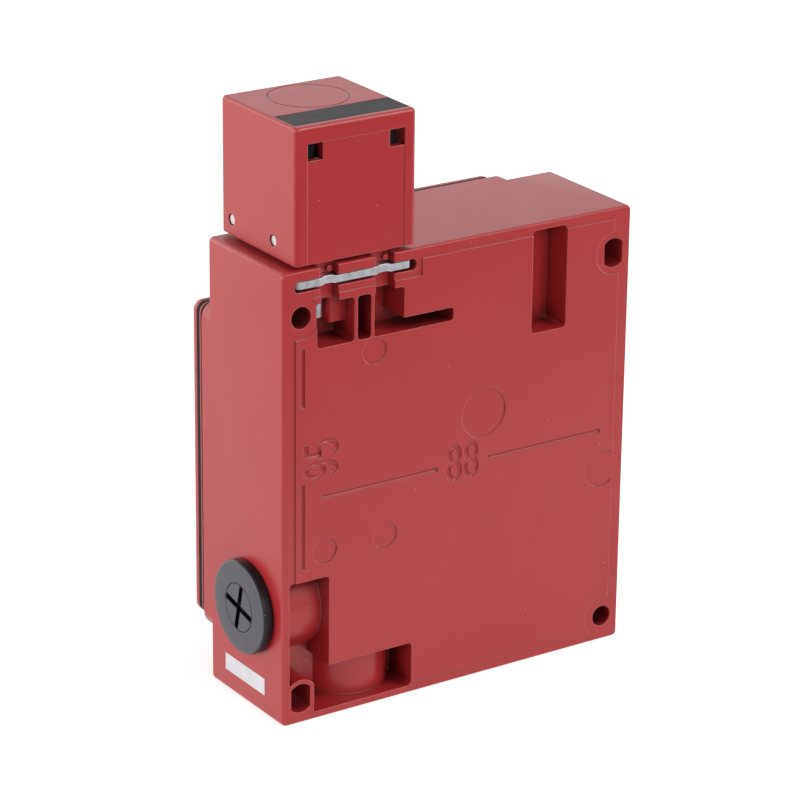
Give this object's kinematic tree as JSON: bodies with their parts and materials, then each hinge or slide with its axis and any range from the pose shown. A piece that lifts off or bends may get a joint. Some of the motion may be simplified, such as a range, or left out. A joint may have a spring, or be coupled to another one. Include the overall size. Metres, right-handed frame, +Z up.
{
  "type": "tongue interlock switch",
  "caption": "Flat red metal safety switch with a cubic turret head for a tongue, solenoid lock, contact block, removable cover and black entry plug.",
  "frame": {"origin": "centre of the fixing holes on the mounting face", "axes": "+Z up towards the head, +Y out of the mounting face, -Y towards the cover, +X towards the head's side"},
  "size_m": [0.1008, 0.044, 0.146],
  "materials": {
    "red_paint": "semi-gloss enamel on zinc casting",
    "black_plastic": "fine-grained moulding",
    "black_rubber": "matt",
    "plated_steel": "bright zinc plate",
    "dark_steel": "oiled",
    "zinc_casting": "bare die casting",
    "brass": "bright",
    "copper_winding": "insulating tape over copper wire",
    "white_nylon": "moulded",
    "chrome": "polished",
    "white_label": "printed film, left bare",
    "grey_label": "film, left bare",
    "amber_lens": "clear moulding",
    "green_lens": "clear moulding",
    "board": "printed circuit board"
  },
  "bodies": {
    "case": {"housing": "red_paint", "front_cover": "red_paint", "cover_gasket": "black_rubber", "cover_screws": "plated_steel", "rating_label": "grey_label", "date_label": "white_label", "entry_plug": "black_plastic", "entry_plug_seal": "black_rubber", "guide_pin": "plated_steel", "plunger_seal": "black_rubber", "lever_pivot": "dark_steel", "lever_circlip": "dark_steel", "solenoid_frame": "plated_steel", "solenoid_core": "dark_steel", "solenoid_bobbin": "white_nylon", "solenoid_coil": "copper_winding", "solenoid_screws": "plated_steel", "armature_spring": "plated_steel", "contact_block": "black_plastic", "fixed_contacts": "brass", "terminal_screws": "plated_steel", "contact_block_screws": "plated_steel", "plunger_spring": "plated_steel", "release_lock_body": "chrome", "indicator_lens_amber": "amber_lens", "indicator_lens_green": "green_lens", "indicator_board": "board", "indicator_board_screws": "plated_steel", "indicator_leds": "white_nylon", "earth_clamp": "brass", "earth_screw": "plated_steel"},
    "head": {"turret_head": "red_paint", "head_core": "zinc_casting", "head_pins": "plated_steel", "neck_seal": "black_rubber", "cam_axle": "dark_steel"},
    "cam": {"head_cam": "zinc_casting"},
    "slot_plug": {"head_slot_plug": "black_plastic"},
    "clip": {"head_clip": "plated_steel"},
    "plunger_group": {"plunger": "dark_steel", "contact_carrier": "white_nylon", "contact_bridges": "brass"},
    "armature_group": {"armature": "dark_steel"},
    "lever": {"lock_lever": "plated_steel"},
    "bolt": {"lock_bolt": "dark_steel"},
    "release": {"release_barrel": "brass", "release_cam": "dark_steel"}
  },
  "joints": [
    {"name": "head_turn", "type": "hinge", "parent": "case", "child": "head", "pos_m": [0.0292, -0.0166, 0.0587], "axis": [0, 0, 1], "range_deg": [-90, 180]},
    {"name": "cam_turn", "type": "hinge", "parent": "head", "child": "cam", "pos_m": [0.0292, -0.0166, 0.0756], "axis": [-1, 0, 0], "range_deg": [0, 60]},
    {"name": "slot_plug_pull", "type": "slide", "parent": "head", "child": "slot_plug", "axis": [0, 0, 1], "range_m": [0, 0.012]},
    {"name": "clip_pull", "type": "slide", "parent": "case", "child": "clip", "axis": [0, 1, 0], "range_m": [0, 0.03]},
    {"name": "plunger_rise", "type": "slide", "parent": "case", "child": "plunger_group", "axis": [0, 0, 1], "range_m": [0, 0.0045], "deforming": ["plunger_spring"]},
    {"name": "armature_pull", "type": "slide", "parent": "case", "child": "armature_group", "axis": [0, 0, -1], "range_m": [0, 0.00433], "stiffness_N_per_m": 120, "springref_m": -0.004, "deforming": ["armature_spring"]},
    {"name": "lever_turn", "type": "hinge", "parent": "case", "child": "lever", "pos_m": [0.002, -0.0166, 0.0485], "axis": [0, -1, 0], "range_deg": [0, 12.43]},
    {"name": "bolt_slide", "type": "slide", "parent": "case", "child": "bolt", "axis": [1, 0, 0], "range_m": [0, 0.0026]},
    {"name": "release_turn", "type": "hinge", "parent": "case", "child": "release", "pos_m": [-0.008, -0.0166, 0.036], "axis": [0, 1, 0], "range_deg": [0, 90]}
  ],
  "couplings": [
    {"joint": "cam_turn", "follows": "plunger_rise", "rad_per_m": 232.69},
    {"joint": "lever_turn", "follows": "armature_pull", "rad_per_m": 50},
    {"joint": "bolt_slide", "follows": "armature_pull", "ratio": 0.6}
  ]
}
